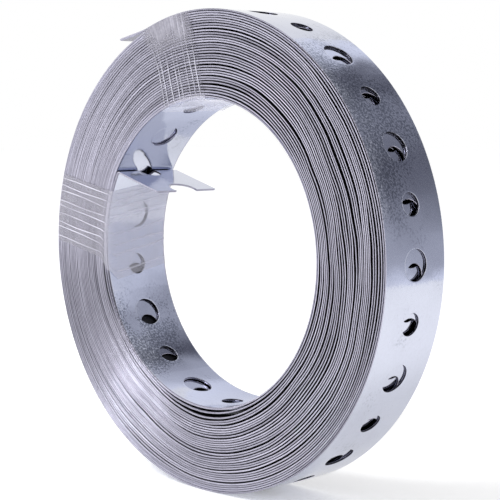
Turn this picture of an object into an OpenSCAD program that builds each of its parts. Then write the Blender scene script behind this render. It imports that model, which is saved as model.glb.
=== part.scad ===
// Coil of perforated steel strap, wound on its own with no core and held by two wraps of clear film.
// Millimetres. The coil stands on its rim with its axis along Y, +Z up.
// Angles are counted from +X toward +Z.

/* [Strap] */
// width of the strap, which is the length of the coil along its axis
strap_width = 20; // [12:0.5:40]
// thickness of the strap
strap_thickness = 0.5; // [0.4:0.05:1]
// distance between the centres of neighbouring holes along the strap
hole_pitch = 13.6; // [11:0.1:25]
// diameter of the large holes
large_hole_d = 7.4; // [4:0.1:10]
// diameter of the small holes
small_hole_d = 5.5; // [3:0.1:9]

/* [Coil] */
// diameter of the open middle
bore_d = 76.2; // [50:0.2:150]
// number of turns
turns = 33; // [8:1:60]
// mean gap between two turns
turn_gap = 0.15; // [0.05:0.01:0.3]
// how deep the gaps between turns are cut into each end
groove_depth = 1.2; // [0.4:0.1:4]

/* [Outer end] */
// angle of one large hole on the outermost turn
outer_hole_angle = 79.4; // [60:0.1:100]
// length of strap that springs off past the upper wrap
outer_tail_length = 12.2; // [8:0.1:40]
// angle at which it springs away from the round of the coil
outer_spring_angle = 8.4; // [2:0.1:30]

/* [Inner end] */
// angle at which the innermost turn is folded into the bore
fold_angle = 150; // [140:0.5:154]
// direction of the folded end
fold_direction = -16.2; // [-25:0.1:0]
// length of the folded end
inner_tail_length = 17.6; // [12:0.1:24]
// distance from the fold to the middle of the small hole in the folded end
fold_hole_offset = 1.4; // [0:0.1:3]

/* [Ends] */
// distance from the middle of the last hole to the cut end of the strap
cut_past_hole = 1.4; // [0:0.1:2.4]

/* [Wraps] */
// thickness of one wrap, all its layers together
film_thickness = 0.3; // [0.1:0.05:1]
// clearance between a wrap and the strap
film_clearance = 0.05; // [0.02:0.01:0.2]
// angle of the upper wrap
top_wrap_angle = 101.8; // [95:0.1:110]
// width of the upper wrap
top_wrap_width = 16; // [10:0.1:24]
// angle of the side wrap
side_wrap_angle = 171.5; // [168:0.1:178]
// width of the side wrap
side_wrap_width = 18.4; // [12:0.1:22]

/* [Hidden] */
$fn = 96;

turn_step = strap_thickness + turn_gap;
bore_r = bore_d / 2;
rim_r = bore_r + turns * strap_thickness + (turns - 1) * turn_gap;
half_w = strap_width / 2;
film_reach = film_clearance + film_thickness;
past = 1;                                   // how far cutters run past a face
root = 0.6 * strap_thickness;               // how far a free end runs into the coil
end_inset = 0.05;                           // how far a free end's sides lie inside the coil's ends
outer_step = hole_pitch / rim_r * 180 / PI; // angle between holes on the outermost turn
inner_step = hole_pitch / (bore_r + strap_thickness / 2) * 180 / PI;
outer_holes = floor(360 / outer_step);
inner_holes = floor(360 / inner_step) - 1;
lift_angle = top_wrap_angle + asin(top_wrap_width / 2 / rim_r) + 0.4;
zinc = [0.76, 0.77, 0.80];
clear_film = [0.93, 0.94, 0.96, 0.45];

// Diameter of hole number i, large and small in turn.
function hole_d(i) = i % 2 == 0 ? large_hole_d : small_hole_d;

// One end of the coil's half section: a land for each turn and a groove for each gap.
function comb(h, g) = [for (i = [0 : turns - 1]) let (r = bore_r + i * turn_step)
    each (i < turns - 1
        ? [[r, h], [r + strap_thickness, h], [r + strap_thickness, h - g], [r + turn_step, h - g]]
        : [[r, h], [rim_r, h]])];

function reversed(p) = [for (i = [len(p) - 1 : -1 : 0]) p[i]];

// The coil as turned: all turns fused, its bore open, its turns showing on both ends.
module wound_body() {
    rotate_extrude()
        polygon(concat(comb(half_w, groove_depth), reversed(comb(-half_w, -groove_depth))));
}

// Holes of the outermost turn, one strap thickness deep, down to the turn below.
module outer_hole_cutters() {
    for (i = [0 : outer_holes - 1])
        rotate([0, 0, outer_hole_angle - i * outer_step])
            translate([rim_r - strap_thickness, 0, 0]) rotate([0, 90, 0])
                cylinder(h = strap_thickness + past, d = hole_d(i));
}

// Holes of the innermost turn, from the fold onward.
module inner_hole_cutters() {
    for (i = [0 : inner_holes - 1])
        rotate([0, 0, fold_angle + (i + 1) * inner_step])
            translate([bore_r - past, 0, 0]) rotate([0, 90, 0])
                cylinder(h = past + strap_thickness, d = hole_d(i));
}

// A flat run of strap along +X from the origin, its thickness above Y = 0.
module strap_end(length, end_hole_d) {
    difference() {
        translate([-root, 0, end_inset - half_w])
            cube([root + length, strap_thickness, strap_width - 2 * end_inset]);
        translate([length - cut_past_hole, -past, 0]) rotate([-90, 0, 0])
            cylinder(h = strap_thickness + 2 * past, d = end_hole_d);
    }
}

// The free outer end, which springs off the rim beside the upper wrap.
module outer_end() {
    rotate([0, 0, lift_angle]) translate([rim_r - 0.8 * strap_thickness, 0, 0])
        rotate([0, 0, 90 - outer_spring_angle]) mirror([0, 1, 0])
            strap_end(outer_tail_length, small_hole_d);
}

// The inner end, folded into the bore, with a small hole beside the fold.
module inner_end() {
    translate([bore_r * cos(fold_angle), bore_r * sin(fold_angle), 0])
        rotate([0, 0, fold_direction]) difference() {
            strap_end(inner_tail_length, large_hole_d);
            translate([fold_hole_offset, -past, 0]) rotate([-90, 0, 0])
                cylinder(h = strap_thickness + 2 * past, d = small_hole_d);
        }
}

// Film wound round the coil's section: a sleeve cut to a band with parallel sides.
module wrap(angle, width) {
    intersection() {
        rotate_extrude() difference() {
            translate([bore_r - film_reach, -half_w - film_reach])
                square([rim_r - bore_r + 2 * film_reach, strap_width + 2 * film_reach]);
            translate([bore_r - film_clearance, -half_w - film_clearance])
                square([rim_r - bore_r + 2 * film_clearance, strap_width + 2 * film_clearance]);
        }
        rotate([0, 0, angle]) translate([0, -width / 2, -strap_width])
            cube([rim_r + 10, width, 2 * strap_width]);
    }
}

// Stands the coil on its rim, with the middle of its outer box above the origin.
module standing() {
    translate([film_reach / 2, 0, rim_r]) rotate([90, 0, 0]) children();
}

module strap_coil() {
    color(zinc) standing() {
        difference() {
            wound_body();
            outer_hole_cutters();
            inner_hole_cutters();
        }
        outer_end();
        inner_end();
    }
}

module tape_wrap_top() {
    color(clear_film) standing() wrap(top_wrap_angle, top_wrap_width);
}

module tape_wrap_side() {
    color(clear_film) standing() wrap(side_wrap_angle, side_wrap_width);
}

strap_coil();
tape_wrap_top();
tape_wrap_side();
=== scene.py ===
import bmesh
import bpy
import numpy as np
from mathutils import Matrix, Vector


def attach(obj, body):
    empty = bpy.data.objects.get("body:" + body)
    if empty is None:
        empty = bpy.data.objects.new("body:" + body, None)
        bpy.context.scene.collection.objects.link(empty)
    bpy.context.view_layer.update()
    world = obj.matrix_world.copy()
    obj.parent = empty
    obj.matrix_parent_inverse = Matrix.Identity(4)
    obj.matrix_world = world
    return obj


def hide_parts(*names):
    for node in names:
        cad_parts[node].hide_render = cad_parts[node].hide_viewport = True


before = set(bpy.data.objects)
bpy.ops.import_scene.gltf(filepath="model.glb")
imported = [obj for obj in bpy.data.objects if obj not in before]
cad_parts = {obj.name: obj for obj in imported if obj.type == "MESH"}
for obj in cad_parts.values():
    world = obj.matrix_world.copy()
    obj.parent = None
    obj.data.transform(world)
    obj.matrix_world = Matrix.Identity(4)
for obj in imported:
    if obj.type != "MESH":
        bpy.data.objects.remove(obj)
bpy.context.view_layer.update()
scene = bpy.context.scene
scene.view_settings.view_transform = "Standard"
mm = 0.001
creaseAngle = 38   # faces that meet at more than this keep a sharp edge
print("frame loaded with nodes", sorted(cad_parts))

# the coil as it was wound: lengths in mm, angles in degrees counter-clockwise seen from the front
winding = {
    "axisX": 0.175, "axisZ": 59.4,
    "boreR": 38.1, "thick": 0.5, "width": 20.0,
    "land": 0.23, "rollDeep": 0.4,       # slit edge: square land, and how deep the rest is rolled over
    "layers": 33, "step": 0.647,         # turns counted at the fold, and what each turn gains
    "gain": (0.45, 0.8),                 # share gained evenly, and where in the turn the rest starts
    "foldAt": 150.0, "liftAt": 109.94,   # where the inner end folds in and the outer end leaves the rim
    "samples": 240,                      # path points a turn
    "contact": 0.012,                    # least gap between two turns
    "waver": ((1.43, 0.06, 0.55), (3.61, 0.05, 0.83), (5.47, 0.03, 0.12)),   # waves a turn, mm, start
    "calmEnds": (0.4, 1.2, 2.0),         # turns: wavers grow over the first, end before the last, fade over
    "slack": 0.02,                       # share of the even gap that is left where the turns are free
    # gaps open where three waves round the turn add up to more than a level; they start at seeded places
    "gapRates": (2, 3, 5), "gapWaves": (0.9, 0.75, 0.25), "gapFrom": 0.2, "gapHalf": 0.4, "gapSeed": 2,
    "gapClose": (0.5, 2.5),              # the last turns lie close: how many, and over how many it fades
    # where the films hold the turns: how far to the right and below, how soon the turns are free past that,
    # and how far they still move there
    "boundAt": 150.0, "boundHalf": (56.0, 74.0), "boundEase": (34.0, 42.0), "boundLeft": 0.3,
    "innerLoose": (0.5, 24),             # the first turn moves this far anyway, less over so many turns
    # turns that stand off more: first turn, degrees, half width, mm
    "lifts": (
        (1, 277, 40, 1.40), (2, 279, 43, 2.00), (3, 285, 42, 0.90), (1, 150, 16, 0.50),
        (1, 196, 18, 0.55), (2, 195, 24, 0.45),
        (2, 64, 32, 0.70), (5, 74, 34, 0.60), (8, 68, 36, 0.70), (12, 78, 34, 0.60),
        (16, 72, 34, 0.60), (20, 66, 36, 0.50), (25, 74, 34, 0.55),
        (5, 304, 38, 0.60), (9, 294, 36, 0.70), (12, 306, 40, 0.60), (16, 296, 36, 0.70),
        (20, 304, 40, 0.60), (24, 297, 36, 0.60), (28, 302, 36, 0.50),
    ),
    "rimSwell": ((78, 60, 0.28), (60, 55, 0.12), (20, 60, 0.10)),   # rim bulges: degrees, half width, mm
    "tailLength": 16.7, "tailPointsTo": -16.2, "foldRadius": 0.55,
    "springLength": 12.2, "springBend": 8.4, "springBendLength": 4.0,
    "spare": 2.0,                        # how far the path runs past both cut ends
    "tailPoints": 30, "foldPoints": 17, "springPoints": 60,
}

holes = {
    "pitch": 13.6, "largeR": 3.7, "smallR": 2.75,
    "bevel": 0.1,                        # rolled lip that the punch leaves
    "lip": ((1.0, 0.0), (0.3, 0.02), (0.0, 0.1)),   # its section: share of the bevel, mm below the face
    "foldOffset": 1.4, "cutPast": 1.4,   # hole centre to fold, and to the sheared ends
    "foldHalf": 0.45, "foldRows": 15,    # half the length of the bend, and points along it
    "outerLargeAt": 79.6, "outerStep": 13.14,
    "outerSpan": (-25, 2),               # last turn's holes, where 0 is the large one at the top right
    "underShift": (2.4, -3.0, 2.0), "underR": 58.5,   # how much lower the holes of the turns below show
    "innerTurns": 1.06,                  # the first turn has holes as far as this
    # holes of the turn behind it: where they are counted from, how far they are shifted, and from to
    "innerMatch": 58.9, "innerShift": 3.3, "innerSpan": (0.1, 0.7),
    "shownHalf": 6.0,                    # how much of that turn's width shows through the first
    # before paleFrom the first turn's hole walls take the painted shade, from there on the cut-edge zinc
    "paleFrom": 0.25,                    # from here on the first turn's hole walls are lit from below
    # points on a side of a hole that is seen and of a hidden one, and points of a plain turn
    "fine": 10, "plain": 5, "turnSegments": 144,
    "fineLoops": (0, 0.04, 0.45, 0.97, 1.0), "plainLoops": (0, 0.45, 1.0),   # shares from lip to border
    "keepOff": 0.1,                      # plain turns have no point closer to their ends, in segments
}


def turnedFrom(theta, middle):
    # degrees from an angle, between -180 and 180
    return (theta - middle + 180) % 360 - 180


def hump(theta, middle, half):
    # cosine squared round an angle, nothing past its half width
    away = turnedFrom(theta, middle)
    return np.where(abs(away) < half, np.cos(np.pi / 2 * away / half) ** 2, 0)


def smooth(t):
    # 3 t squared - 2 t cubed
    return t * t * (3 - 2 * t)


def windPath(w):
    # radius = bore + half a thickness + growth x (thickness + contact) + gaps
    # gaps = even gap where the films hold + wavers + each turn's own waves + lifts, never less than inside,
    # scaled so that the last turn keeps the rim's own shape
    n = w["samples"]
    u = np.arange(w["layers"] * n) / n
    theta = w["foldAt"] + 360 * u
    turn = np.floor(u)
    part = u - turn
    evenly, lateFrom = w["gain"]
    late = np.clip((part - lateFrom) / (1 - lateFrom), 0, 1)
    growth = turn + evenly * part + (1 - evenly) * smooth(late)
    calmIn, calmOut, calmOver = w["calmEnds"]
    calm = np.clip((w["layers"] - calmOut - u) / calmOver, 0, 1) * np.clip(u / calmIn, 0, 1)
    even = (w["step"] - w["thick"] - w["contact"]) * growth
    away = turnedFrom(theta, w["boundAt"])
    boundHalf = np.where(away < 0, *w["boundHalf"])
    boundEase = np.where(away < 0, *w["boundEase"])
    free = np.clip((abs(away) - boundHalf) / boundEase, 0, 1)
    looseIn, looseOver = w["innerLoose"]
    loose = np.maximum(w["boundLeft"] + (1 - w["boundLeft"]) * free, looseIn - u / looseOver)
    spread = even * (1 - (1 - w["slack"]) * free)
    for rate, size, phase in w["waver"]:
        spread = spread + size * calm * loose * np.sin(2 * np.pi * (rate * u + phase))

    # gap inside each turn = its waves above the level, taken in as the winding grows past that turn
    order = np.arange(1, w["layers"] + 1)[:, None]
    start = np.random.default_rng(w["gapSeed"]).random((len(w["gapRates"]), w["layers"], 1))
    waves = [size * np.sin(rate * np.radians(theta) + 2 * np.pi * at)
             for rate, size, at in zip(w["gapRates"], w["gapWaves"], start)]
    closeFor, closeOver = w["gapClose"]
    ends = np.clip(np.minimum(order - 1, (w["layers"] - closeFor - order) / closeOver), 0, 1)
    above = np.maximum(sum(waves) - w["gapFrom"], 0)
    gaps = above / (above + w["gapHalf"]) * ends          # no gap grows much wider than the others
    spread = spread + loose * (gaps * np.clip(growth - order + 1, 0, 1)).sum(axis=0)
    for firstTurn, middle, half, size in w["lifts"]:
        # a hump on every turn from the first one on, counted where the hump is widest
        passing = np.floor(u - turnedFrom(theta, middle) / 360 + 1e-6)
        spread = spread + size * hump(theta, middle, half) * (passing >= firstTurn)
    pressed = np.maximum.accumulate(spread.reshape(w["layers"], n), axis=0).ravel()
    rim = even[-n:] + sum(size * hump(theta[-n:], middle, half) for middle, half, size in w["rimSwell"])
    pressed = pressed * np.tile(rim / pressed[-n:], w["layers"])
    radius = w["boreR"] + w["thick"] / 2 + (w["thick"] + w["contact"]) * growth + pressed
    lastTurn = w["layers"] - (w["foldAt"] - w["liftAt"]) / 360
    kept = (u > 0) & (u < lastTurn)
    u, radius, theta = u[kept], radius[kept], np.radians(theta[kept])
    x, z = radius * np.cos(theta), radius * np.sin(theta)

    # folded inner end: a straight tail, then an arc that turns it into the winding
    foldR = w["boreR"] + w["thick"] / 2
    foldA, tailA = np.radians(w["foldAt"]), np.radians(w["tailPointsTo"])
    corner = foldR * np.array([np.cos(foldA), np.sin(foldA)])
    bendFrom, bendTo = tailA + np.pi, foldA + np.pi / 2
    reach = w["foldRadius"] * np.tan((bendTo - bendFrom) / 2)
    arcStart = corner + reach * np.array([np.cos(tailA), np.sin(tailA)])
    heading = np.linspace(bendFrom, bendTo, w["foldPoints"])
    arcX = arcStart[0] + w["foldRadius"] * (np.sin(heading) - np.sin(bendFrom))
    arcZ = arcStart[1] - w["foldRadius"] * (np.cos(heading) - np.cos(bendFrom))
    tail = np.linspace(w["tailLength"] + w["spare"], reach, w["tailPoints"])[:-1]
    tailX, tailZ = corner[0] + tail * np.cos(tailA), corner[1] + tail * np.sin(tailA)

    # outer end: leaves the rim along the tangent and bends away from it
    s = np.linspace(0, w["springLength"] + w["spare"], w["springPoints"])[1:]
    bent = np.clip(s / w["springBendLength"], 0, 1)
    leave = np.radians(w["liftAt"] + 90 - w["springBend"] * smooth(bent))
    endX = x[-1] + np.cumsum(np.cos(leave)) * (s[1] - s[0])
    endZ = z[-1] + np.cumsum(np.sin(leave)) * (s[1] - s[0])

    x = np.concatenate([tailX, arcX, x, endX])
    z = np.concatenate([tailZ, arcZ, z, endZ])
    l = np.concatenate([[0], np.cumsum(np.hypot(np.diff(x), np.diff(z)))])
    l = l - l[len(tailX) + w["foldPoints"] // 2]          # zero in the middle of the fold
    dx, dz = np.gradient(x, l), np.gradient(z, l)
    size = np.hypot(dx, dz)
    first = len(tailX) + len(arcX)
    return {"l": l, "x": x, "z": z, "nx": dz / size, "nz": -dx / size,
            "u": u, "uLength": l[first:first + len(u)], "lastTurn": lastTurn}


path = windPath(winding)


def lengthAt(u):
    # length along the strap, from the fold, after u turns
    return np.interp(u, path["u"], path["uLength"])


def bend(flat):
    # place = path at the length + thickness along the path's outward normal, width along y
    l, w, h = flat.T
    x = np.interp(l, path["l"], path["x"]) + h * np.interp(l, path["l"], path["nx"])
    z = np.interp(l, path["l"], path["z"]) + h * np.interp(l, path["l"], path["nz"])
    return np.stack([winding["axisX"] + x, w, winding["axisZ"] + z], axis=-1) * mm


# materials of the strap: zinc faces, cut edges, painted shade (near black) for faces that no light reaches,
# painted shade under the sprung end
bright, edged, shaded, underShade = 0, 1, 2, 3


def patch(points, ring=False, finish=bright):
    # quads of a batch of point grids: batch x rows x columns x 3, rows closed on themselves for a ring,
    # with one material index for all or one for each column
    index = np.arange(np.prod(points.shape[:3])).reshape(points.shape[:3])
    if ring:
        index = np.concatenate([index, index[:, :1]], axis=1)
    quads = np.stack([index[:, :-1, :-1], index[:, 1:, :-1], index[:, 1:, 1:], index[:, :-1, 1:]], axis=-1)
    finish = np.broadcast_to(finish, quads.shape[:3])
    return points.reshape(-1, 3), quads.reshape(-1, 4), finish.ravel()


def samePoints(points, grain):
    # points that are equal when rounded: the first of each, and where every point went
    rounded = np.round(points * grain).astype(np.int64)
    first, back = np.unique(rounded, axis=0, return_index=True, return_inverse=True)[1:]
    return first, back.ravel()


def weld(patches, grain=1e4):
    # one shell: equal points become one point
    start = np.cumsum([0] + [len(p[0]) for p in patches[:-1]])
    points = np.concatenate([p[0] for p in patches])
    quads = np.concatenate([p[1] + s for p, s in zip(patches, start)])
    finish = np.concatenate([p[2] for p in patches])
    first, back = samePoints(points, grain)
    return points[first], back[quads], finish


halfT = winding["thick"] / 2
flatW = winding["width"] / 2 - winding["rollDeep"]
# slit edge: sharp on the outer face, a square land, then a quarter ellipse rolled over to the inner face
rollA = np.radians(np.linspace(0, 90, 4))
rollHigh = winding["thick"] - winding["land"]
edgeRoll = np.stack([np.concatenate([[0, winding["rollDeep"]], winding["rollDeep"] * np.cos(rollA)]),
                     np.concatenate([[halfT, halfT], rollHigh - halfT - rollHigh * np.sin(rollA)])])


def sideShare(n):
    # points along a side, spaced so that each subtends the same angle from the middle
    return np.tan(np.radians(np.linspace(-45, 45, n + 1)))


def wallLoops(r, n):
    # hole wall from the outer face to the inner one: a rolled lip at both, straight between
    lip = np.array(holes["lip"])[::1 if n >= holes["fine"] else 2]
    outerHalf = np.stack([r + holes["bevel"] * lip[:, 0], halfT - lip[:, 1]], axis=1)
    return np.concatenate([outerHalf, outerHalf[::-1] * (1, -1)])


def wallFinish(n, wall=shaded):
    # material of each strip of a hole's wall: the middle strip takes painted shade unless another material
    # is given
    if n >= holes["fine"]:
        return [bright, edged, wall, edged, bright]
    return [edged, wall, edged]


def faceMix(n):
    # shares from a hole's lip to its cell's border: loops close to both keep the face flat
    return np.array(holes["fineLoops"] if n >= holes["fine"] else holes["plainLoops"])


def stack(l, w, h):
    # points from their length, width and height, spread over the same grid
    return np.stack(np.broadcast_arrays(l, w, h), axis=-1)


def edgePatches(lengths, face=bright):
    # slit edges along given lengths: batch x points
    lengths = np.atleast_2d(lengths)[:, :, None]
    finish = [face] + [edged] * len(rollA)
    return [patch(stack(lengths, s * (flatW + edgeRoll[0]), edgeRoll[1]), finish=finish) for s in (1, -1)]


def rollCap(l, s):
    # cross cut of one slit edge: its outer half against its inner half
    roll = stack(l, s * (flatW + edgeRoll[0]), edgeRoll[1])
    half = len(roll) // 2
    return patch(np.stack([roll[:half], roll[:half - 1:-1]])[None], finish=edged)


def endCap(l, n):
    # flat cross cut of the strap: outer face row against inner face row, then the two slit edges
    w = sideShare(n) * flatW
    faces = patch(stack(l, w, np.array([[halfT], [-halfT]]))[None], finish=edged)
    return [faces] + [rollCap(l, s) for s in (1, -1)]


def holeCells(lo, hi, centre, radius, n, face, wall=shaded):
    # face between a hole and its cell's border = circle + share x (border - circle), all cells at once
    share = sideShare(n)[:-1]
    one = np.ones(n)
    borderL = np.concatenate([share, one, -share, -one])
    borderW = np.concatenate([-one, share, one, -share])
    angle = np.radians(-135 + 90 * np.arange(4 * n) / n)[None, :, None]
    lo, hi, centre, radius = (np.asarray(v, float)[:, None, None] for v in (lo, hi, centre, radius))
    mix = faceMix(n)
    rim = radius + holes["bevel"]
    cellL = lo + (borderL[None, :, None] + 1) / 2 * (hi - lo)
    cellW = borderW[None, :, None] * flatW
    l = centre + rim * np.cos(angle) + mix * (cellL - centre - rim * np.cos(angle))
    w = rim * np.sin(angle) + mix * (cellW - rim * np.sin(angle))
    patches = [patch(stack(l, w, s * halfT), ring=True, finish=face) for s in (1, -1)]
    loops = wallLoops(0, n)
    wallR = radius + loops[:, 0]
    patches.append(patch(stack(centre + wallR * np.cos(angle), wallR * np.sin(angle), loops[:, 1]),
                         ring=True, finish=wallFinish(n, wall)))
    lengths = lo[:, :, 0] + (sideShare(n) + 1) / 2 * (hi - lo)[:, :, 0]
    return patches + edgePatches(lengths, face)


def openCell(cut, far, centre, radius, n, sheared, under=bright, dark=shaded):
    # a cell whose hole runs out through the line at cut: the same mix, from an arc to the three other sides
    share = (sideShare(n) + 1) / 2
    side = cut + share * (far - cut)
    borderL = np.concatenate([side, np.full(n - 1, far), side[::-1]])
    borderW = np.concatenate([np.full(n + 1, flatW), -sideShare(n)[1:-1] * flatW, np.full(n + 1, -flatW)])

    def arc(r):
        # circle from where it meets the cut round to where it meets it again
        first = np.arccos((cut - centre) / r)
        last = -first if far > cut else 2 * np.pi - first
        a = np.linspace(first, last, len(borderL))
        arcL, arcW = centre + r * np.cos(a), r * np.sin(a)
        arcL[[0, -1]] = cut
        return arcL, arcW

    mix = faceMix(n)
    rimL, rimW = (v[:, None] for v in arc(radius + holes["bevel"]))
    l = rimL + mix * (borderL[:, None] - rimL)
    w = rimW + mix * (borderW[:, None] - rimW)
    patches = [patch(stack(l, w, s * halfT)[None], finish=f) for s, f in ((1, bright), (-1, under))]
    loops = wallLoops(radius, n)
    wall = np.stack([stack(*arc(r), h) for r, h in loops], axis=1)
    # the wall's middle takes painted shade (dark) unless the end is sheared
    patches.append(patch(wall[None], finish=wallFinish(n, edged if sheared else dark)))
    patches += edgePatches(side)
    if sheared:
        half = len(loops) // 2
        for i, s in ((0, 1), (-1, -1)):
            faces = np.stack([stack(l[i], w[i], halfT), stack(l[i], w[i], -halfT)])
            patches.append(patch(faces[None], finish=edged))
            patches.append(rollCap(cut, s))
            patches.append(patch(np.stack([wall[i, :half], wall[i, :half - 1:-1]])[None], finish=edged))
    return patches


def foldBand(lo, hi, centre, radius, n):
    # the two bands beside the hole that runs through the fold: width from the hole's chord to the slit edge
    l = np.linspace(lo, hi, holes["foldRows"])[:, None]
    mix = faceMix(n)
    patches = edgePatches(l[:, 0])
    loops = wallLoops(radius, n)
    for s in (1, -1):
        rim = np.sqrt((radius + holes["bevel"]) ** 2 - (l - centre) ** 2)
        w = s * (rim + mix * (flatW - rim))
        patches += [patch(stack(l, w, t * halfT)[None]) for t in (1, -1)]
        chord = s * np.sqrt(loops[:, 0] ** 2 - (l - centre) ** 2)
        patches.append(patch(stack(l, chord, loops[:, 1])[None], finish=wallFinish(n)))
    return patches


def plainBand(lo, hi, face=shaded):
    # strap without holes: flat on both faces, rolled at both edges, cut square at both ends,
    # with its points at the same angles on every turn, so that turns that touch stay parallel
    # its faces take the painted shade unless told otherwise, so the gaps between turns read near black
    first, last = np.interp([lo, hi], path["uLength"], path["u"]) * holes["turnSegments"]
    marks = np.arange(np.ceil(first + holes["keepOff"]), last - holes["keepOff"])
    l = np.concatenate([[lo], lengthAt(marks / holes["turnSegments"]), [hi]])
    w = np.array([-flatW, flatW])
    faces = [patch(stack(l[:, None], w, s * halfT)[None], finish=face) for s in (1, -1)]
    return weld(faces + edgePatches(l, face) + endCap(lo, 1) + endCap(hi, 1))


def holedBand(centre, large, lo, hi, n, caps, face=bright, wall=shaded):
    # cells run from half way to the hole before to half way to the hole after
    centre = np.asarray(centre)
    between = np.concatenate([[lo], (centre[1:] + centre[:-1]) / 2, [hi]])
    radius = np.where(large, holes["largeR"], holes["smallR"])
    patches = holeCells(between[:-1], between[1:], centre, radius, n, face, wall)
    for l in caps:
        patches += endCap(l, n)
    return patches


def innerEnd():
    # tail with its sheared notch, the fold through a small hole, then the first turn
    n, pitch, fold = holes["fine"], holes["pitch"], holes["foldHalf"]
    foldHole = -holes["foldOffset"]
    tipHole = foldHole - pitch
    middle = (foldHole + tipHole) / 2
    count = int((lengthAt(holes["innerTurns"]) - foldHole) / pitch)
    centre = foldHole + pitch * np.arange(1, count + 1)
    lo, hi = centre[0] - pitch / 2, centre[-1] + pitch / 2
    patches = openCell(tipHole - holes["cutPast"], middle, tipHole, holes["largeR"], n, True)
    patches += openCell(-fold, middle, foldHole, holes["smallR"], n, False)
    patches += foldBand(-fold, fold, foldHole, holes["smallR"], n)
    patches += openCell(fold, lo, foldHole, holes["smallR"], n, False, dark=edged)
    # holes at the top of the bore are lit from below, so their walls keep the pale cut-edge zinc; the walls
    # of the lower holes take the painted shade
    large = np.arange(1, count + 1) % 2 == 1
    low = np.searchsorted(centre, lengthAt(holes["paleFrom"]))
    change = (centre[low - 1] + centre[low]) / 2
    patches += holedBand(centre[:low], large[:low], lo, change, n, [])
    patches += holedBand(centre[low:], large[low:], change, hi, n, [hi], wall=edged)
    # the turn behind keeps the strap's pitch, and shows through the holes of the first
    start = lengthAt(1 + holes["innerMatch"] / 360) + holes["innerShift"]
    under = start + pitch * np.arange(-count, count)
    holesFrom, holesTo = lengthAt(1 + np.array(holes["innerSpan"]))
    under = under[(under > holesFrom) & (under < holesTo)]
    which = np.round((under - start) / pitch).astype(int) % 2 == 1
    lower, upper = under[0] - pitch / 2, under[-1] + pitch / 2
    last = lengthAt(1 + holes["innerTurns"])
    points, quads, finish = weld(holedBand(under, which, lower, upper, holes["plain"], [lower, upper]))
    # that turn has painted shade where the gaps show it, and pale zinc where the holes show it
    hidden = (abs(points[quads, 1].mean(axis=1)) > holes["shownHalf"]) & (finish == bright)
    behind = points, quads, np.where(hidden, shaded, finish)
    return [weld(patches), plainBand(hi, lower, bright), behind, plainBand(upper, last, bright)], last


def outerEnd():
    # last turn, its lifted end with the sheared notch, and the turns below with holes that are shifted
    n, step = holes["fine"], holes["outerStep"]
    last = path["lastTurn"]
    tip = lengthAt(last) + winding["springLength"]
    firstHole, lastHole = holes["outerSpan"]
    order = np.arange(firstHole, lastHole + 1)
    turnAt = last - (winding["liftAt"] - holes["outerLargeAt"] - step * order) / 360
    centre, large = lengthAt(turnAt), order % 2 == 0
    tipHole = tip - holes["cutPast"]
    lo, hi = centre[0] - holes["pitch"] / 2, (centre[-1] + tipHole) / 2
    patches = holedBand(centre, large, lo, hi, n, [lo])
    # the sprung end's inner face takes the painted shade
    patches += openCell(tip, hi, tipHole, holes["smallR"], n, True, under=underShade)
    shells, upper = [weld(patches)], lo
    for below, lowered in enumerate(holes["underShift"], 1):
        under = lengthAt(turnAt - below - lowered / holes["underR"] / (2 * np.pi))
        inside = under < upper - holes["pitch"] / 2
        lower = under[0] - holes["pitch"] / 2
        which = large if below == 2 else ~large
        # turns below the third take the painted shade on their faces
        face = shaded if below > 2 else bright
        band = holedBand(under[inside], which[inside], lower, upper, holes["plain"], [lower, upper], face)
        shells.append(weld(band))
        upper = lower
    return shells, upper


def putMesh(name, points, quads, finish, materials, uv, attributes):
    # object at the origin from points and quads, with material indices, one UV map and point attributes
    mesh = bpy.data.meshes.new(name)
    mesh.from_pydata(points, [], quads)
    for material in materials:
        mesh.materials.append(material)
    mesh.polygons.foreach_set("material_index", finish.astype(np.int32))
    mesh.polygons.foreach_set("use_smooth", np.ones(len(quads), bool))
    layer = mesh.uv_layers.new(name="stripUV")
    corner = np.empty(len(mesh.loops), np.int32)
    mesh.loops.foreach_get("vertex_index", corner)
    layer.data.foreach_set("uv", uv[corner].astype(np.float32).ravel())
    for key, values in attributes.items():
        mesh.attributes.new(key, "FLOAT", "POINT").data.foreach_set("value", values.astype(np.float32))
    work = bmesh.new()
    work.from_mesh(mesh)
    bmesh.ops.recalc_face_normals(work, faces=work.faces)
    work.to_mesh(mesh)
    work.free()
    mesh.set_sharp_from_angle(angle=np.radians(creaseAngle))
    mesh.update()
    piece = bpy.data.objects.new(name, mesh)
    scene.collection.objects.link(piece)
    return piece


# small helpers for node trees
def addNode(tree, kind, **values):
    # new node: names of its inputs set their values, other names set its properties
    node = tree.nodes.new(kind)
    for key, value in values.items():
        if key in node.inputs:
            node.inputs[key].default_value = value
        else:
            setattr(node, key, value)
    return node


def mathNode(tree, operation, a, b=None, c=None, clamp=False):
    # numbers go into the sockets, outputs are linked to them
    node = tree.nodes.new("ShaderNodeMath")
    node.operation, node.use_clamp = operation, clamp
    for socket, value in zip(node.inputs, (a, b, c)):
        if value is None:
            continue
        if isinstance(value, (int, float)):
            socket.default_value = value
        else:
            tree.links.new(value, socket)
    return node.outputs[0]


def ramp(tree, value, *stops):
    # colour ramp with stops of place and colour, or place and grey
    node = tree.nodes.new("ShaderNodeValToRGB")
    marks = node.color_ramp.elements
    while len(marks) < len(stops):
        marks.new(0.5)
    for mark, (at, colour) in zip(marks, stops):
        mark.position = at
        mark.color = (*colour, 1) if isinstance(colour, tuple) else (colour, colour, colour, 1)
    tree.links.new(value, node.inputs["Fac"])
    return node.outputs["Color"]


def newMaterial(name):
    # new material, its node tree and its shader
    material = bpy.data.materials.new(name)
    material.use_nodes = True
    tree = material.node_tree
    return material, tree, tree.nodes["Principled BSDF"]


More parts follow.
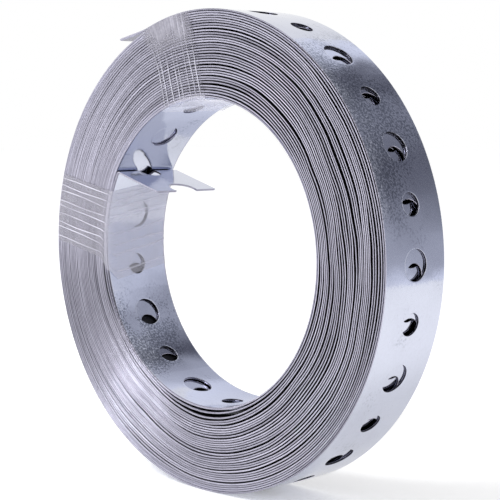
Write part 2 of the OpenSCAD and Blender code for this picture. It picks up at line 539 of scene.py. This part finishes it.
# zinc's surface, on metres along and across the strap: noise scales, and how masks and tones come of them
crystals = {
    "streakScale": (220, 2600, 1), "patchScale": 70.0, "fineScale": 1700.0, "waveScale": 60.0,
    "frontward": (-40.0, 0.6), "patchSteep": (4.0, -1.2),       # frost: slope and level
    "strayPower": 4.0, "stray": (1.2, 0.3),                     # crystals that lie far off the sheet
    "streakTone": 0.2, "speckSteep": (-7.0, 3.9), "speckTone": -2.2,
    "toneSpan": 0.8, "toneMiddle": 0.6, "stops": (0.1, 0.42, 0.78),
    "frostHeight": 0.3, "streakHeight": 0.02, "bump": 0.0001,
}


def spangleGroup():
    # zinc crystals: each Voronoi cell has its own tilt and tone, with fine streaks along the strap
    group = bpy.data.node_groups.new("zincSpangle", "ShaderNodeTree")
    face = group.interface
    face.new_socket("Vector", in_out="INPUT", socket_type="NodeSocketVector")
    for label in ("Grain", "Tilt", "FrostTilt", "Frosted"):
        face.new_socket(label, in_out="INPUT", socket_type="NodeSocketFloat")
    for label in ("Tone", "Streak", "Height", "Frost", "Wave"):
        face.new_socket(label, in_out="OUTPUT", socket_type="NodeSocketFloat")
    face.new_socket("Normal", in_out="OUTPUT", socket_type="NodeSocketVector")
    link = group.links.new
    source = group.nodes.new("NodeGroupInput")
    sink = group.nodes.new("NodeGroupOutput")

    def noise(place, scale, detail, rough=0.5):
        node = addNode(group, "ShaderNodeTexNoise", noise_dimensions="2D",
                       Scale=scale, Detail=detail, Roughness=rough)
        link(place.outputs["Vector"], node.inputs["Vector"])
        return node.outputs["Fac"]

    cell = addNode(group, "ShaderNodeTexVoronoi", voronoi_dimensions="2D", Randomness=1.0)
    link(source.outputs["Vector"], cell.inputs["Vector"])
    link(source.outputs["Grain"], cell.inputs["Scale"])
    split = addNode(group, "ShaderNodeSeparateColor")
    link(cell.outputs["Color"], split.inputs["Color"])
    streakMap = addNode(group, "ShaderNodeMapping", Scale=crystals["streakScale"])
    link(source.outputs["Vector"], streakMap.inputs["Vector"])
    streak = noise(streakMap, 1.0, 3.0, 0.6)
    # frosted patches, heavier towards the front edge of the strap, their fine grain, and the sheet's waves
    patchy = noise(source, crystals["patchScale"], 4.0)
    place = group.nodes.new("ShaderNodeSeparateXYZ")
    link(source.outputs["Vector"], place.inputs["Vector"])
    frontward = mathNode(group, "MULTIPLY_ADD", place.outputs["Y"], *crystals["frontward"], clamp=True)
    frost = mathNode(group, "MULTIPLY_ADD", patchy, *crystals["patchSteep"], clamp=True)
    frost = mathNode(group, "MULTIPLY", frost, frontward)
    frost = mathNode(group, "MULTIPLY", frost, source.outputs["Frosted"])
    fine = noise(source, crystals["fineScale"], 4.0, 0.7)
    wave = noise(source, crystals["waveScale"], 1.0)
    # tilt the shading normal by the cell's own colour, moved to the range -1..1
    shift = addNode(group, "ShaderNodeVectorMath", operation="MULTIPLY_ADD")
    shift.inputs[1].default_value = (2, 2, 2)
    shift.inputs[2].default_value = (-1, -1, -1)
    link(cell.outputs["Color"], shift.inputs[0])
    # few crystals lie far off the sheet: blue to a power, more where it is frosted
    stray = mathNode(group, "POWER", split.outputs["Blue"], crystals["strayPower"])
    stray = mathNode(group, "MULTIPLY_ADD", stray, *crystals["stray"])
    tiltHere = mathNode(group, "MULTIPLY_ADD", frost, source.outputs["FrostTilt"], source.outputs["Tilt"])
    scaled = addNode(group, "ShaderNodeVectorMath", operation="SCALE")
    link(shift.outputs["Vector"], scaled.inputs[0])
    link(mathNode(group, "MULTIPLY", stray, tiltHere), scaled.inputs["Scale"])
    geometry = group.nodes.new("ShaderNodeNewGeometry")
    turned = addNode(group, "ShaderNodeVectorMath", operation="ADD")
    link(geometry.outputs["Normal"], turned.inputs[0])
    link(scaled.outputs["Vector"], turned.inputs[1])
    unit = addNode(group, "ShaderNodeVectorMath", operation="NORMALIZE")
    link(turned.outputs["Vector"], unit.inputs[0])
    link(split.outputs["Red"], sink.inputs["Tone"])
    link(streak, sink.inputs["Streak"])
    link(fine, sink.inputs["Height"])
    link(frost, sink.inputs["Frost"])
    link(wave, sink.inputs["Wave"])
    link(unit.outputs["Vector"], sink.inputs["Normal"])
    return group


zinc = {
    "pale": (0.60, 0.622, 0.725), "dull": (0.57, 0.59, 0.69), "frosted": (0.27, 0.29, 0.355),
    "rough": 0.11, "grain": 2100, "tilt": 0.006, "frostTilt": 0.03, "frostRough": 0.05, "wave": 3.0,
    "cloudScale": 90.0, "crystalTone": 0.3,
    # stretches that are frosted: first or last turn, degrees, half width
    "frostAt": ((0, 220, 28), (-1, 37, 36)),
    "lastFrom": 1.05,                    # what counts as the last turn, in turns from the end
}
cutEdge = {
    "pale": (0.455, 0.445, 0.542), "dull": (0.245, 0.239, 0.297), "frosted": (0.17, 0.166, 0.202),
    "rough": 0.34, "grain": 400, "tilt": 0.012, "frostTilt": 0.0, "frostRough": 0.02, "wave": 0.0,
    "cloudScale": 14.0, "crystalTone": 0.1,
}
# painted shade: near-black zinc for faces deep in the coil, in the gaps between turns and in hole walls
paintedDeepShade = {
    "pale": (0.025, 0.025, 0.03), "dull": (0.014, 0.014, 0.018), "frosted": (0.01, 0.01, 0.012),
    "rough": 0.5, "grain": 900, "tilt": 0.02, "frostTilt": 0.02, "frostRough": 0.02, "wave": 0.0,
    "cloudScale": 90.0, "crystalTone": 0.3,
}
# painted shade: the cut-edge zinc made darker for the underside of the sprung end
sprungEndShade = {**cutEdge, "pale": (0.27, 0.262, 0.32), "dull": (0.19, 0.184, 0.23)}
spangle = spangleGroup()


def zincMaterial(name, finish):
    # tone = clouds + crystals + streaks - specks of frost, then a ramp from frosted over dull to pale
    material, tree, shader = newMaterial(name)
    uv = addNode(tree, "ShaderNodeUVMap", uv_map="stripUV")
    crystal = tree.nodes.new("ShaderNodeGroup")
    crystal.node_tree = spangle
    crystal.inputs["Grain"].default_value = finish["grain"]
    crystal.inputs["Tilt"].default_value = finish["tilt"]
    crystal.inputs["FrostTilt"].default_value = finish["frostTilt"]
    tree.links.new(uv.outputs["UV"], crystal.inputs["Vector"])
    where = addNode(tree, "ShaderNodeAttribute", attribute_name="zincFrost")
    tree.links.new(where.outputs["Fac"], crystal.inputs["Frosted"])
    cloud = addNode(tree, "ShaderNodeTexNoise", noise_dimensions="2D",
                    Scale=finish["cloudScale"], Detail=4.0)
    tree.links.new(uv.outputs["UV"], cloud.inputs["Vector"])
    tone = cloud.outputs["Fac"]
    tone = mathNode(tree, "MULTIPLY_ADD", crystal.outputs["Tone"], finish["crystalTone"], tone)
    tone = mathNode(tree, "MULTIPLY_ADD", crystal.outputs["Streak"], crystals["streakTone"], tone)
    # dark specks of frost: the fine grain's hollows, made steeper
    speck = mathNode(tree, "MULTIPLY_ADD", crystal.outputs["Height"], *crystals["speckSteep"], clamp=True)
    speck = mathNode(tree, "MULTIPLY", speck, crystal.outputs["Frost"])
    tone = mathNode(tree, "MULTIPLY_ADD", speck, crystals["speckTone"], tone)
    mean = (1 + crystals["streakTone"] + finish["crystalTone"]) / 2
    span = crystals["toneSpan"]
    tone = mathNode(tree, "MULTIPLY_ADD", tone, span, crystals["toneMiddle"] - span * mean)
    stops = zip(crystals["stops"], (finish["frosted"], finish["dull"], finish["pale"]))
    tree.links.new(ramp(tree, tone, *stops), shader.inputs["Base Color"])
    rough = mathNode(tree, "MULTIPLY_ADD", crystal.outputs["Frost"], finish["frostRough"], finish["rough"])
    tree.links.new(rough, shader.inputs["Roughness"])
    shader.inputs["Metallic"].default_value = 1.0
    lift = addNode(tree, "ShaderNodeBump", Strength=1.0, Distance=crystals["bump"])
    height = mathNode(tree, "MULTIPLY", crystal.outputs["Height"], crystal.outputs["Frost"])
    height = mathNode(tree, "MULTIPLY", height, crystals["frostHeight"])
    height = mathNode(tree, "MULTIPLY_ADD", crystal.outputs["Streak"], crystals["streakHeight"], height)
    height = mathNode(tree, "MULTIPLY_ADD", crystal.outputs["Wave"], finish["wave"], height)
    tree.links.new(height, lift.inputs["Height"])
    tree.links.new(crystal.outputs["Normal"], lift.inputs["Normal"])
    tree.links.new(lift.outputs["Normal"], shader.inputs["Normal"])
    return material


strapMaterials = [zincMaterial("zincFace", zinc), zincMaterial("zincEdge", cutEdge),
                  zincMaterial("zincShade", paintedDeepShade), zincMaterial("zincUnderShade", sprungEndShade)]

innerShells, innerUpTo = innerEnd()
outerShells, outerFrom = outerEnd()
shells = innerShells + [plainBand(innerUpTo, outerFrom)] + outerShells
starts = np.cumsum([0] + [len(s[0]) for s in shells[:-1]])
flat = np.concatenate([s[0] for s in shells])
strapQuads = np.concatenate([s[1] + k for s, k in zip(shells, starts)])
strapFinish = np.concatenate([s[2] for s in shells])
turnOf = np.interp(flat[:, 0], path["uLength"], path["u"])
frosted = np.zeros(len(flat))
for turn, middle, half in zinc["frostAt"]:
    onTurn = turnOf < 1 if turn == 0 else turnOf > path["lastTurn"] - zinc["lastFrom"]
    frosted = np.maximum(frosted, onTurn * hump(winding["foldAt"] + 360 * turnOf, middle, half))
strap = putMesh("strap", bend(flat), strapQuads, strapFinish, strapMaterials,
                flat[:, :2] * mm, {"zincFrost": frosted})
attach(strap, "root")
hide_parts("strap_coil")
strapLength = (path["l"][-1] - path["l"][0]) * mm
print("strap wound:", round(float(strapLength), 2), "m,", 2 * len(strap.data.polygons), "triangles")

tapeTop = {
    "at": 101.8, "width": 16.4, "pitch": 2.05, "lines": 8, "firstLine": -7.1,
    # sideways travel across the bore and from bore to rim, spread at the rim, drop into the bore
    "tilt": -1.0, "lean": 1.2, "fan": 0.4, "boreDrop": 0.0,
    # how milky it is on the faces, at the rim and from where, and in the bore from one side to the other
    "veil": 0.05, "rimVeil": 0.75, "rimFrom": 0.2, "boreVeil": (0.30, 0.10),
    # how faint its edge lines are in the bore, and how much whiter it is painted there: painted light
    # against the bore's shade
    "boreLines": 0.1, "boreLightening": 1.0,
    "lineFade": 0.2, "fadeFrom": -0.3, "phase": 0.2,
    "node": "tape_wrap_top",
}
tapeSide = {
    "at": 171.5, "width": 18.4, "pitch": 1.98, "lines": 9, "firstLine": -8.2,
    "tilt": -3.4, "lean": -1.0, "fan": 0.0, "boreDrop": 5.5,
    "veil": 0.28, "rimVeil": 0.10, "rimFrom": 0.2, "boreVeil": (0.25, 0.20),
    "boreLines": 0.3, "boreLightening": 0.9,
    "lineFade": 0.75, "fadeFrom": 0.2, "phase": 0.7,
    "node": "tape_wrap_side",
}
film = {
    "clear": 0.06, "thick": 0.05, "ridge": 0.09, "corner": 0.45, "innerR": 38.0,
    "across": 180, "sidePoints": 18, "cornerPoints": 4, "roundLength": 90, "grain": 1e5,
    "rimAbout": 60,                      # rim's radius, to find the turns under the film
    "fanFrom": -0.2, "milkyOver": 0.5, "fadeOver": 0.7,   # in half sections from bore to rim
    "dropFrom": 0.8, "dropOver": 0.12,   # where the drop starts before the corner, and ends after it
    "kinkHalf": 0.4, "kinkFade": 0.75,   # lines are weak where the film kinks into the bore
    # edges of the wound tape: their width, two waves along each of them, uneven spacing and strength
    "lineWidth": 0.13, "slowSwing": 0.16, "quickSwing": 0.1, "uneven": 0.35, "strength": (0.75, 0.25),
    "streaks": ((0.12, 1.9, 0.3), (0.08, 0.83, 1.1)), "streakBase": 0.8, "endFade": 0.2,
    "edgeAlpha": 0.72, "glare": 1.2, "glarePower": 5.0,
    "hazeScale": 260.0, "hazeVeil": (1.2, 0.4), "hazeStops": (0.3, 0.7),
    "body": ((0.36, 0.35, 0.42), (0.44, 0.43, 0.51)),
    # white is also the painted sheen on film seen along its surface
    "white": (0.87, 0.865, 0.99, 1),     # cut edges, and film seen along its surface
    "rough": (0.14, 0.26),
}


def filmLoop(count, corner):
    # a rectangle's core point and outward normal: it walks each side, then turns a quarter at each corner
    side = np.linspace(0, 1, count)[:, None]
    quarter = np.radians(np.linspace(0, 90, corner + 2)[1:-1])[:, None]
    stops = np.array([[-1, -1], [1, -1], [1, 1], [-1, 1]], float)
    outward = np.array([[0, -1], [1, 0], [0, 1], [-1, 0]], float)
    core, normal = [], []
    for i in range(4):
        nextStop, nextOut = stops[(i + 1) % 4], outward[(i + 1) % 4]
        core += [stops[i] + side * (nextStop - stops[i]), nextStop + 0 * quarter]
        normal += [outward[i] + 0 * side, outward[i] * np.cos(quarter) + nextOut * np.sin(quarter)]
    return np.concatenate(core), np.concatenate(normal)


def filmWrap(name, tape, material):
    # film round the section: rounded rectangle from bore to rim, carried across the band,
    # pushed out by a thin ridge along each edge of the wound tape
    core, normal = filmLoop(film["sidePoints"], film["cornerPoints"])
    rimward, farward = core.T            # -1 at the bore and the near face, 1 at the rim and the far face
    x = np.linspace(-tape["width"] / 2, tape["width"] / 2, film["across"])[:, None]
    along = np.arange(len(core)) / len(core)
    onBore = rimward < -0.999
    nearFace, farFace = farward < -0.99, farward > 0.99
    climb = np.where(onBore, (farward + 1) / 2, np.where(farFace, (1 - rimward) / 2, 0))
    lean = np.where(nearFace | farFace, (rimward + 1) / 2, rimward > 0)
    fanned = np.clip((rimward - film["fanFrom"]) / (1 - film["fanFrom"]), 0, 1) ** 2
    milky = np.clip((rimward - tape["rimFrom"]) / film["milkyOver"], 0, 1)
    fade = np.clip((rimward - tape["fadeFrom"]) / film["fadeOver"], 0, 1)
    spreadX = x * (1 + tape["fan"] * fanned * (x > 0))
    # the drop starts a little before the corner and is full soon after it
    towards = np.clip((-rimward - film["dropFrom"]) / (1 - film["dropFrom"]), 0, 1)
    inBore = np.where(nearFace, 0.5 * towards, climb)
    inBore = np.where(onBore, 0.5 + 0.5 * np.clip(climb / film["dropOver"], 0, 1), inBore)
    drop = tape["boreDrop"] * inBore * np.clip(2 * x / tape["width"], 0, 1)
    shifted = spreadX + tape["tilt"] * climb + tape["lean"] * (lean - 0.5) + drop

    # ridge = bell across each edge of the tape, which wanders along its way; every edge starts elsewhere
    ridges = np.zeros_like(shifted)
    for j in range(tape["lines"]):
        slow = film["slowSwing"] * np.sin(2 * np.pi * (along * 2 + j * 0.37 + tape["phase"]))
        quick = film["quickSwing"] * np.sin(2 * np.pi * (along * 5 + j * 0.61))
        uneven = film["uneven"] * np.sin(j * 2.4 + tape["phase"])
        at = tape["firstLine"] + tape["pitch"] * j + slow + quick + uneven
        mean, swing = film["strength"]
        strength = mean + swing * np.sin(2 * np.pi * (along * 3 + j * 0.83))
        ridges = np.maximum(ridges, strength * np.exp(-((x - at) / film["lineWidth"]) ** 2))
    kink = np.clip(1 - abs(inBore - 0.5) / film["kinkHalf"], 0, 1) * (farward < 0) * (tape["boreDrop"] > 0)
    ridges = ridges * (1 - (1 - tape["lineFade"]) * fade) * (1 - film["kinkFade"] * kink)
    ridges = ridges * (1 - (1 - tape["boreLines"]) * onBore)

    inner = np.sqrt(film["innerR"] ** 2 - shifted ** 2)
    turnedTo = np.degrees(np.arctan2(path["z"], path["x"]))
    under = abs(turnedFrom(turnedTo, tape["at"])) < np.degrees(tape["width"] / 2 / film["rimAbout"])
    rim = np.hypot(path["x"], path["z"])[under].max() + halfT   # outermost turn under the film
    outer = np.sqrt(rim ** 2 - shifted ** 2)
    corner = film["corner"]

    def sheet(offset):
        # place = core point + outward normal x (corner + offset), turned to the film's angle
        radial = (outer + inner) / 2 + rimward * ((outer - inner) / 2 - corner)
        radial = radial + normal[:, 0] * (corner + offset)
        y = farward * (winding["width"] / 2 - corner) + normal[:, 1] * (corner + offset)
        a = np.radians(tape["at"])
        px = winding["axisX"] + radial * np.cos(a) - shifted * np.sin(a)
        pz = winding["axisZ"] + radial * np.sin(a) + shifted * np.cos(a)
        return stack(px, y, pz)

    outside = sheet(film["clear"] + film["thick"] + film["ridge"] * ridges)
    inside = sheet(film["clear"] + 0 * ridges)
    patches = [patch(p.transpose(1, 0, 2)[None], ring=True) for p in (outside, inside)]
    patches += [patch(np.stack([outside[i], inside[i]], axis=1)[None], ring=True) for i in (0, -1)]
    points, quads, finish = weld(patches, film["grain"])
    kept = samePoints(np.concatenate([p[0] for p in patches]), film["grain"])[0]

    def perPoint(grid):
        # a value for each place on the film, in the order of the welded points
        grid = np.broadcast_to(grid, ridges.shape)
        strips = [np.repeat(grid[i], 2) for i in (0, -1)]
        return np.concatenate([grid.T.ravel(), grid.T.ravel(), *strips])[kept]

    acrossShare = x / tape["width"] + 0.5
    veilFrom, veilTo = tape["boreVeil"]
    boreVeil = veilFrom + acrossShare * (veilTo - veilFrom)
    streaks = film["streakBase"] + sum(size * np.sin(2 * np.pi * x / long + at)
                                       for size, long, at in film["streaks"])
    ends = np.clip((0.5 - abs(acrossShare - 0.5)) / film["endFade"], 0, 1)
    veil = np.where(onBore, boreVeil, tape["veil"] + tape["rimVeil"] * milky * streaks * ends)
    uv = np.stack([perPoint(x), perPoint(along * film["roundLength"])], axis=1) * mm
    # filmLightening is painted light: the film is whitened where it lies in the bore
    attributes = {"filmEdge": perPoint(ridges), "filmVeil": perPoint(veil),
                  "filmLightening": perPoint(tape["boreLightening"] * onBore)}
    piece = putMesh(name, points * mm, quads, finish, [material], uv, attributes)
    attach(piece, "root")
    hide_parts(tape["node"])
    print(name, "laid:", 2 * len(piece.data.polygons), "triangles")


def filmMaterial():
    # clear film: mostly see-through, milky where it lies in many layers, white along each cut edge, with
    # painted sheen where it is seen along its surface and painted light where it lies in the bore
    material, tree, shader = newMaterial("clearFilm")
    uv = addNode(tree, "ShaderNodeUVMap", uv_map="stripUV")
    edge = addNode(tree, "ShaderNodeAttribute", attribute_name="filmEdge").outputs["Fac"]
    veil = addNode(tree, "ShaderNodeAttribute", attribute_name="filmVeil").outputs["Fac"]
    pale = addNode(tree, "ShaderNodeAttribute", attribute_name="filmLightening").outputs["Fac"]
    noise = addNode(tree, "ShaderNodeTexNoise", noise_dimensions="2D",
                    Scale=film["hazeScale"], Detail=5.0, Roughness=0.6)
    tree.links.new(uv.outputs["UV"], noise.inputs["Vector"])
    haze = noise.outputs["Fac"]
    hazed = mathNode(tree, "MULTIPLY_ADD", haze, *film["hazeVeil"])
    hazed = mathNode(tree, "MULTIPLY", veil, hazed)
    alpha = mathNode(tree, "MULTIPLY_ADD", edge, film["edgeAlpha"], hazed, clamp=True)
    # painted sheen: film seen along its surface is drawn whiter and more opaque
    grazing = addNode(tree, "ShaderNodeLayerWeight", Blend=0.5)
    glare = mathNode(tree, "POWER", grazing.outputs["Facing"], film["glarePower"])
    glare = mathNode(tree, "MULTIPLY", glare, film["glare"], clamp=True)
    tree.links.new(mathNode(tree, "MAXIMUM", alpha, glare), shader.inputs["Alpha"])
    tint = addNode(tree, "ShaderNodeMix", data_type="RGBA")
    tint.inputs[7].default_value = film["white"]
    # white where a cut edge is, where the painted sheen is, and where painted light whitens the film in the
    # bore
    white = mathNode(tree, "MAXIMUM", mathNode(tree, "MAXIMUM", edge, glare), pale)
    tree.links.new(white, tint.inputs[0])
    tree.links.new(ramp(tree, haze, *zip(film["hazeStops"], film["body"])), tint.inputs[6])
    tree.links.new(tint.outputs[2], shader.inputs["Base Color"])
    tree.links.new(ramp(tree, haze, *zip(film["hazeStops"], film["rough"])), shader.inputs["Roughness"])
    lift = addNode(tree, "ShaderNodeBump", Strength=0.3, Distance=0.00003)
    tree.links.new(haze, lift.inputs["Height"])
    tree.links.new(lift.outputs["Normal"], shader.inputs["Normal"])
    return material


clearFilm = filmMaterial()
filmWrap("filmTop", tapeTop, clearFilm)
filmWrap("filmSide", tapeSide, clearFilm)

studio = {
    "ambient": 0.80, "floorHalf": 3.0, "floorGlow": 0.24,
    "keyFrom": (-0.12, -0.80, 0.86), "keyAt": (0, 0, 0.06), "keySize": 0.4, "keyPower": 6.6,
    # cards behind the coil, painted reflections: each is painted for the angles on the rim or in the bore
    # that show it
    "cardY": 0.06, "rimShows": (-3.2, 58.0), "boreShows": (172.0, 250.0), "topShows": (100.0, 132.0),
    "rimR": 59.5, "rimAcross": (-16, 20), "boreAcross": (-12, 20), "acrossStep": 2,
    # painted reflection: the rim card's tone is made uneven
    "rimReflectionWobble": ((0.02, 0.45, 0.3), (0.014, 0.3, -0.7)),   # uneven tone of the rim's card: size, across, round
    # the darkest stretch of the bore's painted reflection: from, at its front and back edge, and to
    "darkFrom": (209.0, 197.0), "darkTo": 236.0, "darkShare": (1, 2.5),
    "rimTones": ((0.0, 1.0), (0.045, 0.55), (0.15, 0.47), (0.25, 0.31), (0.345, 0.20), (0.44, 0.155),
                 (0.54, 0.26), (0.64, 0.31), (0.735, 0.155), (0.835, 0.21), (0.88, 0.55), (0.925, 0.9),
                 (0.984, 1.0)),
    "boreTones": ((0.32, 0.78), (0.40, 0.57), (0.45, 0.42), (0.54, 0.49), (0.60, 0.40), (0.63, 0.31),
                  (0.67, 0.26), (0.715, 0.11), (0.745, 0.14), (0.80, 0.45), (0.86, 0.57), (0.92, 0.66),
                  (1.0, 1.0)),
    "topTones": ((0.0, 1.0), (0.4, 0.84), (0.8, 0.74), (1.0, 0.74)),
    # dark drum in front that only mirrors see, a painted dark reflection: metres away, degrees round from
    # the right, degrees up, and where it runs out
    "frontFar": 0.5, "frontRound": (-122, 5), "frontUp": (-3, 36), "frontEnd": (-124, -96),
    # glowing card low on the left that only mirrors see: a painted reflection that lightens the edges at
    # the right
    "sideX": -0.35, "sideY": (-0.28, 0.25), "sideUp": 0.16, "sideGlow": 1.8,
    "cameraAt": (0.27131, -0.25539, 0.09339), "cameraLooks": (-0.7170, 0.6914, -0.0901), "lens": 107.1,
}


def seenDirectly(tree):
    # 1 for rays from the camera, and for those that metal or film sends on
    ray = tree.nodes.new("ShaderNodeLightPath")
    seen = mathNode(tree, "MAXIMUM", ray.outputs["Is Camera Ray"], ray.outputs["Is Glossy Ray"])
    return mathNode(tree, "MAXIMUM", seen, ray.outputs["Is Transmission Ray"])


def studioFloor():
    # flat white sheet well past the view
    half = studio["floorHalf"]
    mesh = bpy.data.meshes.new("studioFloor")
    corners = [(-half, -half, 0), (half, -half, 0), (half, half, 0), (-half, half, 0)]
    mesh.from_pydata(corners, [], [(0, 1, 2, 3)])
    floor = bpy.data.objects.new("studioFloor", mesh)
    scene.collection.objects.link(floor)
    material, tree, shader = newMaterial("paperWhite")
    place = tree.nodes.new("ShaderNodeTexCoord")
    fibre = addNode(tree, "ShaderNodeTexNoise", Scale=300.0, Detail=3.0)
    tree.links.new(place.outputs["Object"], fibre.inputs["Vector"])
    tree.links.new(ramp(tree, fibre.outputs["Fac"], (0.3, 0.93), (0.7, 0.96)), shader.inputs["Base Color"])
    shader.inputs["Roughness"].default_value = 0.9
    shader.inputs["Specular IOR Level"].default_value = 0.1
    shader.inputs["Emission Color"].default_value = (1, 1, 1, 1)
    glow = mathNode(tree, "MULTIPLY", seenDirectly(tree), studio["floorGlow"])
    tree.links.new(glow, shader.inputs["Emission Strength"])
    mesh.materials.append(material)


def placeCard(name, points, quads, material, tone=None):
    # sheet that only mirrors show: a painted reflection
    mesh = bpy.data.meshes.new(name)
    mesh.from_pydata(points, [], quads)
    if tone is not None:
        values = tone.astype(np.float32).ravel()
        mesh.attributes.new("cardTone", "FLOAT", "POINT").data.foreach_set("value", values)
    mesh.materials.append(material)
    card = bpy.data.objects.new(name, mesh)
    scene.collection.objects.link(card)
    card.visible_camera = card.visible_diffuse = card.visible_shadow = False


def coolGrey(tone):
    # a tone with a little more blue and a little less red
    return 0.97 * tone, tone, 0.02 + 1.1 * tone


def mirrorCard(name, radius, facing, shows, across, tone, stops):
    # sheet behind the coil that only the metal sees, a painted reflection: each point is where the camera's
    # ray to the coil, mirrored at its rim or bore, meets the card's plane
    turn = np.radians(shows) + 0 * across
    normal = facing * stack(np.cos(turn), 0, np.sin(turn))
    x, z = winding["axisX"] + radius * np.cos(turn), winding["axisZ"] + radius * np.sin(turn)
    at = stack(x, across, z) * mm
    ray = at - np.array(studio["cameraAt"])
    ray = ray - 2 * (ray * normal).sum(axis=-1, keepdims=True) * normal
    points = at + ray * (studio["cardY"] - at[..., 1:2]) / ray[..., 1:2]
    points, quads = patch(points[None])[:2]
    material, tree, shader = newMaterial(name)
    along = addNode(tree, "ShaderNodeAttribute", attribute_name="cardTone")
    grey = ramp(tree, along.outputs["Fac"], *[(at, coolGrey(t)) for at, t in stops])
    tree.links.new(grey, shader.inputs["Emission Color"])
    shader.inputs["Emission Strength"].default_value = 1.0
    shader.inputs["Base Color"].default_value = (0, 0, 0, 1)
    shader.inputs["Specular IOR Level"].default_value = 0.0
    placeCard(name, points, quads, material, tone)


def studioCards():
    # rows of about a degree on the coil, columns of 2 mm across it
    def columns(low, high):
        return np.arange(low, high + 1, studio["acrossStep"], dtype=float)[None]

    across = columns(*studio["rimAcross"])
    shows = np.linspace(*studio["rimShows"], 64)[:, None]
    tone = (shows - shows[0]) / np.ptp(shows) + 0 * across
    for size, acrossRate, roundRate in studio["rimReflectionWobble"]:
        tone = tone + size * np.sin(acrossRate * across + roundRate * shows)
    mirrorCard("rimCard", studio["rimR"], 1, shows, across, tone, studio["rimTones"])
    across = columns(*studio["boreAcross"])
    shows = np.linspace(*studio["boreShows"], 79)[:, None]
    dark = np.interp(across, (-winding["width"] / 2, winding["width"] / 2), studio["darkFrom"])
    before, span = studio["darkShare"]
    tone = np.clip(((shows - dark) / (studio["darkTo"] - dark) + before) / span, 0, 1)
    mirrorCard("boreCard", winding["boreR"], -1, shows, across, tone, studio["boreTones"])
    shows = np.linspace(*studio["topShows"], 33)[:, None]
    tone = (shows - shows[0]) / np.ptp(shows) + 0 * across
    mirrorCard("topCard", winding["boreR"], -1, shows, across, tone, studio["topTones"])

    # part of an upright drum, a painted dark reflection seen in the slit edges at the left, which runs out
    # low
    turn = np.radians(np.linspace(*studio["frontRound"], 24))[:, None]
    low, high = studio["frontUp"]
    high = np.interp(np.degrees(turn), studio["frontEnd"], (low, high))
    rise = np.tan(np.radians(low + (high - low) * np.linspace(0, 1, 4)))
    points = studio["frontFar"] * stack(np.cos(turn), np.sin(turn), rise)
    points, quads = patch(points[None] + np.array([0, 0, winding["axisZ"] * mm]))[:2]
    material, _, shader = newMaterial("cardDark")
    shader.inputs["Base Color"].default_value = (0.03, 0.03, 0.035, 1)
    shader.inputs["Roughness"].default_value = 0.9
    placeCard("frontCard", points, quads, material)

    # painted reflection: a glowing sheet, no lamp, seen only in the metal
    (near, far), top = studio["sideY"], studio["sideUp"]
    corners = [(studio["sideX"], y, z) for y, z in ((near, 0), (far, 0), (far, top), (near, top))]
    material, _, shader = newMaterial("cardPale")
    shader.inputs["Emission Color"].default_value = (1, 1, 1, 1)
    shader.inputs["Emission Strength"].default_value = studio["sideGlow"]
    placeCard("sideCard", corners, [(0, 1, 2, 3)], material)


def studioLight():
    # white all round, a little less of it as light on the object, and one soft box
    world = bpy.data.worlds.new("studioWorld")
    world.use_nodes = True
    scene.world = world
    tree = world.node_tree
    back = tree.nodes["Background"]
    back.inputs["Color"].default_value = (1, 1, 1, 1)
    ambient = studio["ambient"]
    strength = mathNode(tree, "MULTIPLY_ADD", seenDirectly(tree), 1 - ambient, ambient)
    tree.links.new(strength, back.inputs["Strength"])
    lamp = bpy.data.lights.new("keyBox", "AREA")
    lamp.shape, lamp.size, lamp.energy = "SQUARE", studio["keySize"], studio["keyPower"]
    key = bpy.data.objects.new("keyBox", lamp)
    key.location = studio["keyFrom"]
    key.rotation_mode = "QUATERNION"
    key.rotation_quaternion = (Vector(studio["keyAt"]) - key.location).to_track_quat("-Z", "Y")
    scene.collection.objects.link(key)


def studioCamera():
    # the photo's place, angle and lens
    data = bpy.data.cameras.new("photoCamera")
    data.lens, data.sensor_width = studio["lens"], 36
    data.clip_start, data.clip_end = 0.01, 20
    camera = bpy.data.objects.new("photoCamera", data)
    camera.location = studio["cameraAt"]
    camera.rotation_mode = "QUATERNION"
    camera.rotation_quaternion = Vector(studio["cameraLooks"]).to_track_quat("-Z", "Y")
    scene.collection.objects.link(camera)
    scene.camera = camera


studioFloor()
studioCards()
studioLight()
studioCamera()
print("studio set")
